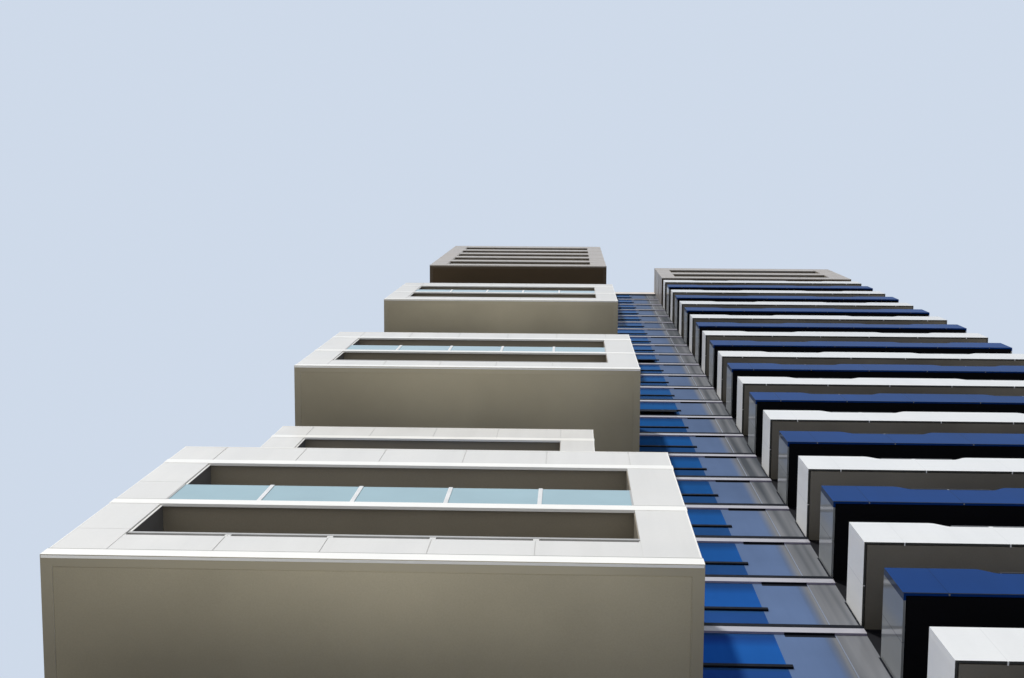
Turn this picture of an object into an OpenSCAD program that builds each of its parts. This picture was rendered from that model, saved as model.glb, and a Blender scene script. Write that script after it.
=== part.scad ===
// A slim apartment tower as a model at one tenth of its real size, in millimetres.
// X runs along the street front, Y goes into the building and Z is up.
// The origin is at ground level, under the middle of the whole footprint.
// A deck line is the underside of the boxes and trays of a storey. Deck 1 is over the lobby.

/* [Whole tower] */
// Floor to floor height of an apartment storey
storey_h = 310; // [290:1:330]
// Height of the first deck line above the ground
lobby_h = 540; // [480:1:640]
// Height of the parapets above the last deck line that they stand on
parapet_h = 143; // [125:1:180]
// Depth of the body behind the street front
body_d = 1905; // [1500:5:2400]
// How far the side walls stand back from the ends of the boxes and trays
end_inset = 12; // [8:1:30]

/* [Bays of the street front] */
// Width of the left bay, which carries the stacked boxes
bay_w = 936; // [800:1:1100]
// Width of the flat link between the boxes and the wing
link_w = 351; // [300:1:420]
// Width of the wing, which carries the balcony trays
wing_w = 1113; // [1000:1:1300]

/* [Walls and slabs] */
// Thickness of the outer walls
wall_t = 30; // [20:1:45]
// Thickness of a floor slab
slab_t = 31; // [20:1:36]
// Top of a floor slab below its deck line
slab_drop = 9; // [4:1:12]
// Thickness of the slab on the ground
base_t = 25; // [15:1:40]
// Height of the coping on the parapet walls
coping_h = 14; // [8:1:25]
// How far the slab edge strips stand out from the walls
strip_out = 4; // [2:1:10]

/* [Windows] */
// Bottom of a window above its deck line
sill_h = 6; // [3:1:60]
// Height of a window
window_h = 264; // [150:1:268]
// Width of a window on the sides and the back
window_w = 465; // [300:5:500]
// Number of windows a storey on each side
side_windows = 3; // [1:1:3]
// Number of windows a storey on the back
back_windows = 4; // [1:1:4]
// Width of the piers of the wing's front wall
wing_pier_w = 62; // [40:1:120]
// Thickness of the glass
glass_t = 3; // [2:0.5:6]
// Depth of the glass behind the face of the wall, but for the flush glass of the link
glass_in = 8; // [3:1:15]
// Bottom of the lobby windows above the ground
lobby_sill = 60; // [40:1:120]
// Height of the lobby windows
lobby_window_h = 360; // [200:1:370]

/* [Entrance] */
// Width of the doorway
door_w = 150; // [100:1:240]
// Height of the doorway
door_h = 250; // [200:1:320]

/* [Link front] */
// Width of the window beside the boxes
link_window_w = 183; // [120:1:200]
// Width of the wider of the two cladding panels
panel_w = 110; // [60:1:120]
// Thickness of the cladding panels
panel_t = 5; // [3:1:10]
// Joint between two cladding panels
panel_gap = 2; // [1:0.5:4]
// Bottom of the transom above the deck line
transom_z = 92; // [60:1:150]
// Height of the transom
transom_h = 12; // [8:1:30]
// How far the transom stands out from the cladding
transom_out = 4; // [2:1:12]
// How far the transom runs on over the cladding
transom_over = 9; // [2:1:20]
// Height of the vent slot under the slab edge
vent_h = 14; // [5:1:20]
// Distance of the vent slot from the window beside it
vent_in = 19; // [5:1:40]

/* [Stacked boxes] */
// How far the deep boxes stand out from the street front
deep_out = 295; // [220:1:360]
// How far the shallow boxes stand out from the street front
shallow_out = 160; // [120:1:200]
// How much narrower a shallow box is than the bay
shallow_less_w = 127; // [0:1:200]
// Storeys from one deep box to the next, and from the last one to the crown box
box_pitch = 6; // [6:2:8]
// Number of deep boxes under the crown box
deep_boxes = 3; // [1:1:4]
// Storeys inside a deep or shallow box
box_storeys = 2; // [2:1:2]
// Width of the side piers of a box
pier_w = 84; // [60:1:110]
// Width of the beam round the bottom of a box
beam_w = 17; // [10:1:30]
// Height of the beam round the bottom of a box
beam_h = 30; // [26:1:45]
// Groove between the beam and the soffit panel
soffit_groove = 1.5; // [1:0.5:4]
// How far the edges and beams stand out from the panels of a box
edge_out = 3; // [1:0.5:6]
// Top of a box's upper floors above the deck line
edge_over = 24; // [20:1:30]
// Thickness of a box's upper floors
box_floor_t = 20; // [12:1:40]
// Thickness of spandrels and parapets of a box
skin_t = 20; // [12:1:30]
// Top of the spandrels above the deck line
spandrel_h = 122; // [90:1:150]
// Panels across one spandrel
spandrel_panels = 5; // [3:1:7]
// Joint between two spandrel panels
joint_w = 2; // [1:0.5:4]
// Gap between the spandrels and the rail over them
rail_gap = 10; // [3:1:14]
// Thickness of that rail
top_rail_t = 7; // [2:0.5:9]
// Depth of that rail from front to back
top_rail_w = 9; // [4:1:14]
// Width of the stubs that carry that rail at the panel joints
stub_w = 9; // [6:1:14]

/* [Glass balustrades] */
// Height of the glass above the floor of the loggia
pane_h = 115; // [90:1:130]
// Thickness of a glass pane
pane_t = 3; // [2:0.5:6]
// Width of a post between two panes
post_w = 4; // [3:1:10]
// Depth of the balustrade behind the edge of the floor
pane_in = 2; // [1:1:20]

/* [Balcony trays] */
// How far the trays stand out from the street front
tray_out = 160; // [120:1:200]
// Height of a tray's parapet over its underside
tray_h = 145; // [120:1:170]
// Underside of a tray above the deck line
tray_lift = 11; // [3:1:18]
// Thickness of a tray's floor
tray_floor_t = 20; // [12:1:30]
// Thickness of a tray's parapet
tray_skin_t = 12; // [8:1:20]
// Thickness of the lip in front of the floor's edge
lip_t = 4; // [2:0.5:6]
// Gap between the lip and the edge of the floor
lip_gap = 1.6; // [1:0.1:3]

/* [Waves of the parapets] */
// Depth of a dip in the top of the parapet
dip_h = 25; // [10:1:45]
// Start of the first dip from the left end of the tray
dip_start = 152; // [80:1:200]
// Distance from one dip to the next
dip_pitch = 542; // [450:1:600]
// Level length of a dip
dip_flat = 164; // [100:1:220]
// Length of a curve down into a dip or up out of it
dip_curve = 38; // [20:1:60]
// Number of dips along a tray
dips = 2; // [1:1:2]
// Straight pieces in one curve
curve_steps = 8; // [4:1:16]

/* [Handrails over the dips] */
// Height of the rail's middle above the bottom of the dip
rail_up = 8; // [7:1:16]
// Diameter of the rail
rail_d = 5; // [4:0.5:8]
// Width of the square posts under the rail
rail_post_w = 3; // [2:0.5:3.5]

/* [Crown] */
// Storeys inside the crown box of the left bay
crown_box_storeys = 5; // [3:1:7]
// Storeys inside the crown of the wing
crown_storeys = 2; // [2:1:3]
// Width of the right pier of the wing's crown
crown_pier_w = 106; // [80:1:140]

/* [Hidden] */

// Small amount by which a cutter runs past a face
cut = 1;

// Places along the street front
total_w = bay_w + link_w + wing_w;
bay_x = -total_w / 2;
link_x = bay_x + bay_w;
wing_x = link_x + link_w;
end_x = wing_x + wing_w;
body_x = bay_x + end_inset;
body_w = total_w - 2 * end_inset;

// Planes from the street to the back
total_d = body_d + deep_out;
front_y = -total_d / 2;
face_y = front_y + deep_out;
wall_y = face_y + panel_t;
back_y = total_d / 2;
back_wall_y = back_y - strip_out - wall_t;
side_y = wall_y + wall_t;
side_len = back_wall_y - side_y;

// Levels of the boxes and trays. The last deck line is the roof's.
deep_levels = [for (k = [1:deep_boxes]) k * box_pitch];
shallow_levels = [for (k = [0:deep_boxes]) (k + 0.5) * box_pitch];
crown_box_level = (deep_boxes + 1) * box_pitch;
decks = crown_box_level + crown_box_storeys;
crown_level = decks - crown_storeys;
pale_levels = [for (n = [2:2:crown_level - 1]) n];
dark_levels = [for (n = [1:2:crown_level - 1]) n];

// Heights
function deck(n) = lobby_h + (n - 1) * storey_h;
slab_low = slab_drop + slab_t;
lobby_top = deck(1) - slab_low;
top_z = deck(decks) + parapet_h;
wall_top = top_z - coping_h;

// Whether the slab edge at deck line n lies behind a box of these storeys that starts at one of the levels
function behind_box(n, levels, storeys) = len([for (m = levels)
    if (deck(n) - slab_drop > deck(m) && deck(n) - slab_low < deck(m + storeys) + parapet_h) m]) > 0;

// Widths of the boxes
shallow_w = bay_w - shallow_less_w;

// Window columns as pairs of start and width along a wall
function columns(start, len, count, w) =
    let (gap = (len - count * w) / (count + 1))
    [for (k = [0:count - 1]) [start + gap + k * (w + gap), w]];
wing_window_w = (end_x - end_inset - wing_x - 3 * wing_pier_w) / 2;
bay_window = [bay_x + pier_w, bay_w - 2 * pier_w];
link_window = [link_x, link_window_w];
wing_windows = [for (k = [0:1]) [wing_x + wing_pier_w + k * (wing_window_w + wing_pier_w), wing_window_w]];
front_columns = concat([bay_window, link_window], wing_windows);
side_columns = columns(side_y, side_len, side_windows, window_w);
back_columns = columns(body_x, body_w, back_windows, window_w);

// Doorway in the middle of the link
door_x = link_x + (link_w - door_w) / 2;

// Block from one corner to the other
module block(low, high) {
    translate(low) cube(high - low);
}

// Cutters or panes in a wall along X, for one storey, between two planes
module along_x(cols, y0, y1, z0, z1) {
    for (c = cols) block([c[0], y0, z0], [c[0] + c[1], y1, z1]);
}

// Cutters or panes in a wall along Y, for one storey, between two planes
module along_y(cols, x0, x1, z0, z1) {
    for (c = cols) block([x0, c[0], z0], [x1, c[0] + c[1], z1]);
}

// Slabs of the body

module ground_slab() {
    color("gray") block([body_x, wall_y, 0], [body_x + body_w, back_y - strip_out, base_t]);
}

module body_slab(n) {
    block([body_x + wall_t, side_y, deck(n) - slab_low],
        [body_x + body_w - wall_t, back_wall_y, deck(n) - slab_drop]);
}

module floor_slabs() {
    color("darkgray") for (n = [1:decks - 1]) body_slab(n);
}

module roof_slab() {
    color("darkgray") body_slab(decks);
}

module roof_coping() {
    color("wheat") difference() {
        block([body_x - strip_out, wall_y - strip_out, wall_top], [body_x + body_w + strip_out, back_y, top_z]);
        block([body_x + wall_t, side_y, wall_top - cut], [body_x + body_w - wall_t, back_wall_y, top_z + cut]);
        bay_notch();
        wing_notch();
    }
}

// The coping stops where the crown boxes stand in front of the wall
module bay_notch() {
    block([bay_x - cut, wall_y - strip_out - cut, wall_top - cut], [link_x, wall_y, top_z + cut]);
}

module wing_notch() {
    block([wing_x, wall_y - strip_out - cut, wall_top - cut], [end_x + cut, wall_y, top_z + cut]);
}

// Outer walls, cut through by their windows

module lobby_windows_x(cols, y) {
    along_x(cols, y - cut, y + wall_t + cut, lobby_sill, lobby_sill + lobby_window_h);
}

module lobby_front_left() {
    color("slategray") difference() {
        block([body_x, wall_y, base_t], [door_x, side_y, lobby_top]);
        lobby_windows_x([bay_window], wall_y);
    }
}

module lobby_front_right() {
    color("slategray") difference() {
        block([door_x + door_w, wall_y, base_t], [body_x + body_w, side_y, lobby_top]);
        lobby_windows_x(wing_windows, wall_y);
    }
}

module lobby_lintel() {
    color("slategray")
        block([door_x, wall_y, base_t + door_h], [door_x + door_w, side_y, lobby_top]);
}

module front_wall() {
    color("slategray") difference() {
        block([body_x, wall_y, lobby_top], [body_x + body_w, side_y, wall_top]);
        for (n = [1:decks - 1])
            along_x(front_columns, wall_y - cut, side_y + cut, deck(n) + sill_h, deck(n) + sill_h + window_h);
    }
}

module side_wall(x) {
    difference() {
        block([x, side_y, base_t], [x + wall_t, back_wall_y, wall_top]);
        for (n = [1:decks - 1])
            along_y(side_columns, x - cut, x + wall_t + cut, deck(n) + sill_h, deck(n) + sill_h + window_h);
        along_y(side_columns, x - cut, x + wall_t + cut, lobby_sill, lobby_sill + lobby_window_h);
    }
}

module left_wall() {
    color("slategray") side_wall(body_x);
}

module right_wall() {
    color("slategray") side_wall(body_x + body_w - wall_t);
}

module back_wall() {
    color("slategray") difference() {
        block([body_x, back_wall_y, base_t], [body_x + body_w, back_wall_y + wall_t, wall_top]);
        for (n = [1:decks - 1], z = deck(n) + sill_h)
            along_x(back_columns, back_wall_y - cut, back_y + cut, z, z + window_h);
        lobby_windows_x(back_columns, back_wall_y);
    }
}

// Pale strip round the edge of a floor slab, left out behind the boxes and over the trays
module edge_strip(n) {
    in_deep = behind_box(n, deep_levels, box_storeys) || behind_box(n, [crown_box_level], crown_box_storeys);
    in_shallow = behind_box(n, shallow_levels, box_storeys);
    x0 = in_deep ? link_x : in_shallow ? bay_x + shallow_w : body_x - strip_out;
    z0 = deck(n) - slab_low;
    z1 = deck(n) - slab_drop;
    block([x0, face_y - strip_out, z0], [wing_x, wall_y, z1]);
    block([body_x - strip_out, wall_y, z0], [body_x, back_y - strip_out, z1]);
    block([body_x + body_w, wall_y, z0], [body_x + body_w + strip_out, back_y - strip_out, z1]);
    block([body_x - strip_out, back_y - strip_out, z0], [body_x + body_w + strip_out, back_y, z1]);
}

module slab_edge_strips() {
    color("lightgray") for (n = [1:decks]) edge_strip(n);
}

// Glass of the windows, one pane in each opening. The link's glass lies over its
// opening, flush with the cladding, from one slab edge to the next.

module front_glass() {
    recessed = concat([bay_window], wing_windows);
    y0 = wall_y + glass_in;
    color("royalblue") {
        for (n = [1:decks - 1]) {
            along_x(recessed, y0, y0 + glass_t, deck(n) + sill_h, deck(n) + sill_h + window_h);
            along_x([link_window], face_y, wall_y, deck(n) - slab_drop, deck(n + 1) - slab_low);
        }
        along_x(recessed, y0, y0 + glass_t, lobby_sill, lobby_sill + lobby_window_h);
    }
}

module side_glass(x) {
    for (n = [1:decks - 1])
        along_y(side_columns, x, x + glass_t, deck(n) + sill_h, deck(n) + sill_h + window_h);
    along_y(side_columns, x, x + glass_t, lobby_sill, lobby_sill + lobby_window_h);
}

module left_glass() {
    color("royalblue") side_glass(body_x + glass_in);
}

module right_glass() {
    color("royalblue") side_glass(body_x + body_w - glass_in - glass_t);
}

module back_glass() {
    y1 = back_wall_y + wall_t - glass_in;
    color("royalblue") {
        for (n = [1:decks - 1])
            along_x(back_columns, y1 - glass_t, y1, deck(n) + sill_h, deck(n) + sill_h + window_h);
        along_x(back_columns, y1 - glass_t, y1, lobby_sill, lobby_sill + lobby_window_h);
    }
}

// Cladding, transoms and vents of the flat link

link_panel_x = link_x + link_window_w;
link_seam_x = link_panel_x + panel_w;
panel_low = -slab_drop;
panel_high = storey_h - slab_low;

module link_cladding() {
    color("lightslategray") for (n = [1:decks - 1]) {
        z0 = deck(n) + panel_low;
        z1 = deck(n) + panel_high;
        difference() {
            block([link_panel_x, face_y, z0], [link_seam_x, wall_y, z1]);
            block([link_panel_x + vent_in, face_y - cut, z1 - vent_h], [link_seam_x + cut, wall_y + cut, z1 + cut]);
        }
        block([link_seam_x + panel_gap, face_y, z0], [wing_x, wall_y, z1]);
    }
}

module link_vents() {
    color("black") for (n = [1:decks - 1])
        block([link_panel_x + vent_in, face_y, deck(n) + panel_high - vent_h],
            [link_seam_x, wall_y, deck(n) + panel_high]);
}

module link_transoms() {
    color("black") for (n = [1:decks - 1])
        block([link_x, face_y - transom_out, deck(n) + transom_z],
            [link_panel_x + transom_over, face_y, deck(n) + transom_z + transom_h]);
}

// Pieces of one box. Each takes the left end, the width, how far it stands out,
// its lowest deck line and its number of storeys.

// Soffit panel, which is also the lowest floor, inside the beam
module box_soffit(x, w, out, n) {
    inset = beam_w + soffit_groove;
    block([x + inset, face_y - out + inset, deck(n)], [x + w - inset, wall_y, deck(n) + beam_h]);
}

// Beam round the front and both ends of the bottom
module box_beam(x, w, out, n) {
    difference() {
        block([x, face_y - out, deck(n)], [x + w, wall_y, deck(n) + beam_h]);
        block([x + beam_w, face_y - out + beam_w, deck(n) - cut],
            [x + w - beam_w, wall_y + cut, deck(n) + beam_h + cut]);
    }
}

// Side piers of each storey, from the beam or a floor to the next floor
module box_piers(x, w, out, n, storeys, right_w = pier_w) {
    y0 = face_y - out + edge_out;
    for (k = [0:storeys - 1]) {
        z0 = deck(n + k) + (k == 0 ? beam_h : edge_over);
        z1 = deck(n + k + 1) + edge_over - box_floor_t;
        block([x + edge_out, y0, z0], [x + pier_w, wall_y, z1]);
        block([x + w - right_w, y0, z0], [x + w - edge_out, wall_y, z1]);
    }
}

// Floors over each storey, from end to end and out to the front as its white edges
module box_floors(x, w, out, n, storeys) {
    for (k = [1:storeys], z = deck(n + k) + edge_over)
        block([x, face_y - out, z - box_floor_t], [x + w, wall_y, z]);
}

// Parapet round the top slab
module box_parapet(x, w, out, n, storeys) {
    z0 = deck(n + storeys) + edge_over;
    z1 = deck(n + storeys) + parapet_h;
    difference() {
        block([x + edge_out, face_y - out + edge_out, z0], [x + w - edge_out, wall_y, z1]);
        block([x + edge_out + skin_t, face_y - out + edge_out + skin_t, z0 - cut],
            [x + w - edge_out - skin_t, wall_y + cut, z1 + cut]);
    }
}

// Row of spandrel panels between the piers at one storey, on the floor at height z
module box_spandrel(x, w, out, z, top, right_w = pier_w) {
    inner_w = w - pier_w - right_w;
    step = inner_w / spandrel_panels;
    for (k = [0:spandrel_panels - 1])
        block([x + pier_w + k * step + joint_w / 2, face_y - out + edge_out, z],
            [x + pier_w + (k + 1) * step - joint_w / 2, face_y - out + edge_out + skin_t, top]);
}

// Rail over one row of spandrel panels, on a stub at each joint
module spandrel_rail(x, w, out, top) {
    y0 = face_y - out + edge_out;
    step = (w - 2 * pier_w) / spandrel_panels;
    block([x + pier_w, y0, top + rail_gap], [x + w - pier_w, y0 + top_rail_w, top + rail_gap + top_rail_t]);
    for (k = [1:spandrel_panels - 1])
        block([x + pier_w + k * step - stub_w / 2, y0, top],
            [x + pier_w + k * step + stub_w / 2, y0 + top_rail_w, top + rail_gap + top_rail_t]);
}

// Spandrels of all storeys from the lowest up
module box_spandrels(x, w, out, n, storeys, right_w = pier_w) {
    for (k = [0:storeys - 1])
        box_spandrel(x, w, out, deck(n + k) + (k == 0 ? beam_h : edge_over), deck(n + k) + spandrel_h, right_w);
}

// Deep boxes, with a glass balustrade on the upper storey

module deep_box_soffits() {
    color("tan") for (n = deep_levels) box_soffit(bay_x, bay_w, deep_out, n);
}

module deep_box_beams() {
    color("white") for (n = deep_levels) box_beam(bay_x, bay_w, deep_out, n);
}

module deep_box_piers() {
    color("gainsboro") for (n = deep_levels) box_piers(bay_x, bay_w, deep_out, n, box_storeys);
}

module deep_box_floors() {
    color("white") for (n = deep_levels) box_floors(bay_x, bay_w, deep_out, n, box_storeys);
}

module deep_box_parapets() {
    color("gainsboro") for (n = deep_levels) box_parapet(bay_x, bay_w, deep_out, n, box_storeys);
}

module deep_box_spandrels() {
    color("gainsboro") for (n = deep_levels) {
        box_spandrel(bay_x, bay_w, deep_out, deck(n) + beam_h, deck(n) + spandrel_h);
        spandrel_rail(bay_x, bay_w, deep_out, deck(n) + spandrel_h);
    }
}

pane_step = (bay_w - 2 * pier_w) / spandrel_panels;

module deep_box_panes() {
    y = front_y + pane_in;
    color("lightblue") for (n = deep_levels, k = [0:spandrel_panels - 1]) {
        z = deck(n + box_storeys - 1) + edge_over;
        x0 = bay_x + pier_w + k * pane_step + (k > 0 ? post_w / 2 : 0);
        x1 = bay_x + pier_w + (k + 1) * pane_step - (k < spandrel_panels - 1 ? post_w / 2 : 0);
        block([x0, y, z], [x1, y + pane_t, z + pane_h]);
    }
}

module deep_box_posts() {
    y = front_y + pane_in;
    color("white") for (n = deep_levels, k = [1:spandrel_panels - 1]) {
        z = deck(n + box_storeys - 1) + edge_over;
        block([bay_x + pier_w + k * pane_step - post_w / 2, y, z],
            [bay_x + pier_w + k * pane_step + post_w / 2, y + post_w, z + pane_h]);
    }
}

// Shallow boxes, with spandrels on both storeys

module shallow_box_soffits() {
    color("tan") for (n = shallow_levels) box_soffit(bay_x, shallow_w, shallow_out, n);
}

module shallow_box_beams() {
    color("white") for (n = shallow_levels) box_beam(bay_x, shallow_w, shallow_out, n);
}

module shallow_box_piers() {
    color("gainsboro") for (n = shallow_levels) box_piers(bay_x, shallow_w, shallow_out, n, box_storeys);
}

module shallow_box_floors() {
    color("white") for (n = shallow_levels) box_floors(bay_x, shallow_w, shallow_out, n, box_storeys);
}

module shallow_box_parapets() {
    color("gainsboro") for (n = shallow_levels) box_parapet(bay_x, shallow_w, shallow_out, n, box_storeys);
}

module shallow_box_spandrels() {
    color("gainsboro") for (n = shallow_levels) {
        box_spandrels(bay_x, shallow_w, shallow_out, n, box_storeys);
        for (k = [0:box_storeys - 1]) spandrel_rail(bay_x, shallow_w, shallow_out, deck(n + k) + spandrel_h);
    }
}

// Crown: the tall box on top of the left bay and the frame on top of the wing

module crown_soffits() {
    color("saddlebrown") {
        box_soffit(bay_x, bay_w, deep_out, crown_box_level);
        box_soffit(wing_x, wing_w, tray_out, crown_level);
    }
}

module crown_beams() {
    color("tan") {
        box_beam(bay_x, bay_w, deep_out, crown_box_level);
        box_beam(wing_x, wing_w, tray_out, crown_level);
    }
}

module crown_piers() {
    color("tan") {
        box_piers(bay_x, bay_w, deep_out, crown_box_level, crown_box_storeys);
        box_piers(wing_x, wing_w, tray_out, crown_level, crown_storeys, crown_pier_w);
    }
}

module crown_floors() {
    color("tan") {
        box_floors(bay_x, bay_w, deep_out, crown_box_level, crown_box_storeys);
        box_floors(wing_x, wing_w, tray_out, crown_level, crown_storeys);
    }
}

module crown_parapets() {
    color("tan") {
        box_parapet(bay_x, bay_w, deep_out, crown_box_level, crown_box_storeys);
        box_parapet(wing_x, wing_w, tray_out, crown_level, crown_storeys);
    }
}

module crown_spandrels() {
    color("tan") {
        box_spandrels(bay_x, bay_w, deep_out, crown_box_level, crown_box_storeys);
        box_spandrels(wing_x, wing_w, tray_out, crown_level, crown_storeys, crown_pier_w);
    }
}

// Balcony trays of the wing. The parapet's top is a wave, and its lip hides the floor's edge.

tray_y = face_y - tray_out;

module tray_floor(n) {
    inset = lip_t + lip_gap;
    z = deck(n) + tray_lift;
    block([wing_x + inset, tray_y + inset, z], [end_x - inset, wall_y, z + tray_floor_t]);
}

// Height of the wave at a share t of one curve, from the high level down to the dip
function wave(t) = tray_h - dip_h * (1 - cos(180 * t)) / 2;

// Points of the top of one dip, from left to right
function dip_points(x) = let (step = dip_curve / curve_steps, up_x = x + dip_curve + dip_flat) concat(
    [for (k = [0:curve_steps]) [x + k * step, wave(k / curve_steps)]],
    [for (k = [0:curve_steps]) [up_x + k * step, wave(1 - k / curve_steps)]]
);
wave_points = [for (d = [0:dips - 1], p = dip_points(dip_start + d * dip_pitch)) p];

module tray_front(n) {
    translate([wing_x, tray_y, deck(n) + tray_lift]) difference() {
        translate([0, tray_skin_t, 0]) rotate([90, 0, 0]) linear_extrude(tray_skin_t)
            polygon(concat([[0, 0], [0, tray_h]], wave_points, [[wing_w, tray_h], [wing_w, 0]]));
        block([lip_t, lip_t, -cut], [wing_w - lip_t, tray_skin_t + cut, tray_floor_t]);
    }
}

module tray_side(n, x, lip_x) {
    z = deck(n) + tray_lift;
    y0 = tray_y + tray_skin_t;
    block([x, y0, z + tray_floor_t], [x + tray_skin_t, wall_y, z + tray_h]);
    block([lip_x, y0, z], [lip_x + lip_t, wall_y, z + tray_floor_t]);
}

module tray_sides(n) {
    tray_side(n, wing_x, wing_x);
    tray_side(n, end_x - tray_skin_t, end_x - lip_t);
}

module pale_tray_floors() {
    color("dimgray") for (n = pale_levels) tray_floor(n);
}

module pale_tray_fronts() {
    color("white") for (n = pale_levels) tray_front(n);
}

module pale_tray_sides() {
    color("white") for (n = pale_levels) tray_sides(n);
}

module dark_tray_floors() {
    color("black") for (n = dark_levels) tray_floor(n);
}

module dark_tray_fronts() {
    color("midnightblue") for (n = dark_levels) tray_front(n);
}

module dark_tray_sides() {
    color("midnightblue") for (n = dark_levels) tray_sides(n);
}

// Rail on three posts over each dip of a tray's parapet
module tray_rail(n, x) {
    z = deck(n) + tray_lift + tray_h - dip_h;
    y = tray_y + rail_d / 2;
    post_step = (dip_flat - rail_post_w) / 2;
    translate([x, y, z + rail_up]) rotate([0, 90, 0]) cylinder(d = rail_d, h = dip_flat, $fn = 16);
    for (k = [0:2])
        translate([x + k * post_step, y - rail_post_w / 2, z]) cube([rail_post_w, rail_post_w, rail_up]);
}

module tray_handrails() {
    color("silver") for (n = concat(pale_levels, dark_levels), d = [0:dips - 1])
        tray_rail(n, wing_x + dip_start + d * dip_pitch + dip_curve);
}

ground_slab();
floor_slabs();
roof_slab();
roof_coping();
lobby_front_left();
lobby_front_right();
lobby_lintel();
front_wall();
left_wall();
right_wall();
back_wall();
slab_edge_strips();
front_glass();
left_glass();
right_glass();
back_glass();
link_cladding();
link_transoms();
link_vents();
deep_box_soffits();
deep_box_beams();
deep_box_piers();
deep_box_floors();
deep_box_parapets();
deep_box_spandrels();
deep_box_panes();
deep_box_posts();
shallow_box_soffits();
shallow_box_beams();
shallow_box_piers();
shallow_box_floors();
shallow_box_parapets();
shallow_box_spandrels();
crown_soffits();
crown_beams();
crown_piers();
crown_floors();
crown_parapets();
crown_spandrels();
pale_tray_floors();
pale_tray_fronts();
pale_tray_sides();
dark_tray_floors();
dark_tray_fronts();
dark_tray_sides();
tray_handrails();
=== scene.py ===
"""Looks of a slim apartment tower, a model at one tenth of its real size.

The fixed frame holds the tower itself. This script gives each of its pieces a finish, adds the
cladding plates, window bars, trims and linings that are too fine for the frame, and sets the
stage, the lamps and the camera. Everything is in metres: X runs along the street front,
Y goes into the building and Z is up.
"""

import math

import bmesh
import bpy
from mathutils import Matrix, Vector


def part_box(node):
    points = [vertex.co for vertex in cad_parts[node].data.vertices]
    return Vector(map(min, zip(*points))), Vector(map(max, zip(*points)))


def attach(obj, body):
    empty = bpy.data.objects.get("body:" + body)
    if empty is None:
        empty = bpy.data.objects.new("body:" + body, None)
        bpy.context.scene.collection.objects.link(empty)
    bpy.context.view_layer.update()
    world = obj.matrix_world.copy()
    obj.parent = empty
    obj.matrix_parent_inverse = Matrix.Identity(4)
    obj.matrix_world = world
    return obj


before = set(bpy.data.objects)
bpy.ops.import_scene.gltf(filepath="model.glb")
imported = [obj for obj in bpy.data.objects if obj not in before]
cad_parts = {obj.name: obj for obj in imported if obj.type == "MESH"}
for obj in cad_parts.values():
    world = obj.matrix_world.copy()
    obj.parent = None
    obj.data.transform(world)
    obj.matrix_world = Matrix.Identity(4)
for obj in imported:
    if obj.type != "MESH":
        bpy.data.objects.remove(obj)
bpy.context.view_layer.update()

# Lengths are in metres, and a pair of them says from where to where.

# Heights of the tower
STOREY = 0.310
FIRST_DECK = 0.540
DECKS = 29
STOREYS = range(1, DECKS)
STRIP_UNDER = 0.040
STRIP_TOP = 0.009
PARAPET = 0.143

# Deck lines at the foot of each box and of each tray
DEEP_LEVELS = (6, 12, 18)
SHALLOW_LEVELS = (3, 9, 15, 21)
BAY_CROWN_LEVEL = 24
BAY_CROWN_STOREYS = 5
WING_CROWN_LEVEL = 27
TRAYS = range(1, WING_CROWN_LEVEL)
DARK_TRAYS = TRAYS[::2]
PALE_TRAYS = TRAYS[1::2]

# Small amounts by which a piece laps over another, stops short of it or clears it
HAIR = 0.0004
SLIVER = 0.0003
CLEAR = 0.001

# Stacked boxes
PIER = 0.084
PIER_CUT = 0.152
FIRST_PIER_CUT = 0.146
BEAM_TOP = 0.030
BEAM = 0.017
GROOVE = 0.0015
GROOVE_RISE = (0.0006, 0.004)
SPANDREL_TOP = 0.122
SPANDREL_PLATE = 0.113
SPANDRELS = 5
SHALLOW_PANELS = 4
EDGE_OUT = 0.003
EDGE_OVER = 0.024
FLOOR = 0.020
WRAP_START = 0.0012
WRAP_END = 0.0052
WRAP_UNDER = 0.0005
FASCIA = 0.009
FASCIA_LIP = 0.002
BEAD = 0.004
FRONT_PLATE = 0.0025
END_PLATE = 0.155
CORNER = 0.002
CAP = 0.004
CAP_OUT = 0.001
OPENING_FRAME = 0.0038
TAPE = 0.002
TAPE_OUT = 0.0014
TAPE_IN = 0.003
GUARD_DEPTH = 0.020
RAIL_LOW = 0.132
RAIL_TOP = 0.139
RAIL = 0.009
PANE_TOP = 0.139
CHANNEL = 0.003
CHANNEL_DEPTH = (0.0012, 0.006)
POST_COVER = 0.007
POST_COVER_DEPTH = (0.0006, 0.002)
PARAPET_PIER = 0.077
CROWN_PIER = 0.106

# Windows
SILL = 0.006
WINDOW_HEIGHT = 0.264
SIDE_WIDTH = 0.465
SIDE_COUNT = 3
BACK_COUNT = 4
BAY_LIGHTS = 5
LIGHTS = 3
WALL_DEPTH = 0.030
WING_COUNT = 2
WING_PIER = 0.062
GLASS_IN = 0.008
BAR = 0.006
BAR_DEPTH = 0.005
TRANSOM_LOW = 0.092
TRANSOM_HIGH = 0.104
TRANSOM_OUT = 0.004

# Sashes of the link that stand open
SASH_DECKS = (15, 19)
SASH_TURN = 8.0
SASH = 0.002
SASH_OUT = 0.003
SASH_LEFT = 0.002
SASH_RIGHT = 0.010

# Lobby
LOBBY_SILL = 0.060
LOBBY_HEIGHT = 0.360
LOBBY_PLATES = 3
DOOR = 0.150
DOOR_FOOT = 0.025
DOOR_TOP = 0.275
DOOR_BAR = 0.010
DOOR_BAR_DEPTH = (-0.02, 0.005)
DOOR_EDGE = 0.012
PLINTH = 0.004
PLINTH_FOOT = 0.003

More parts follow.
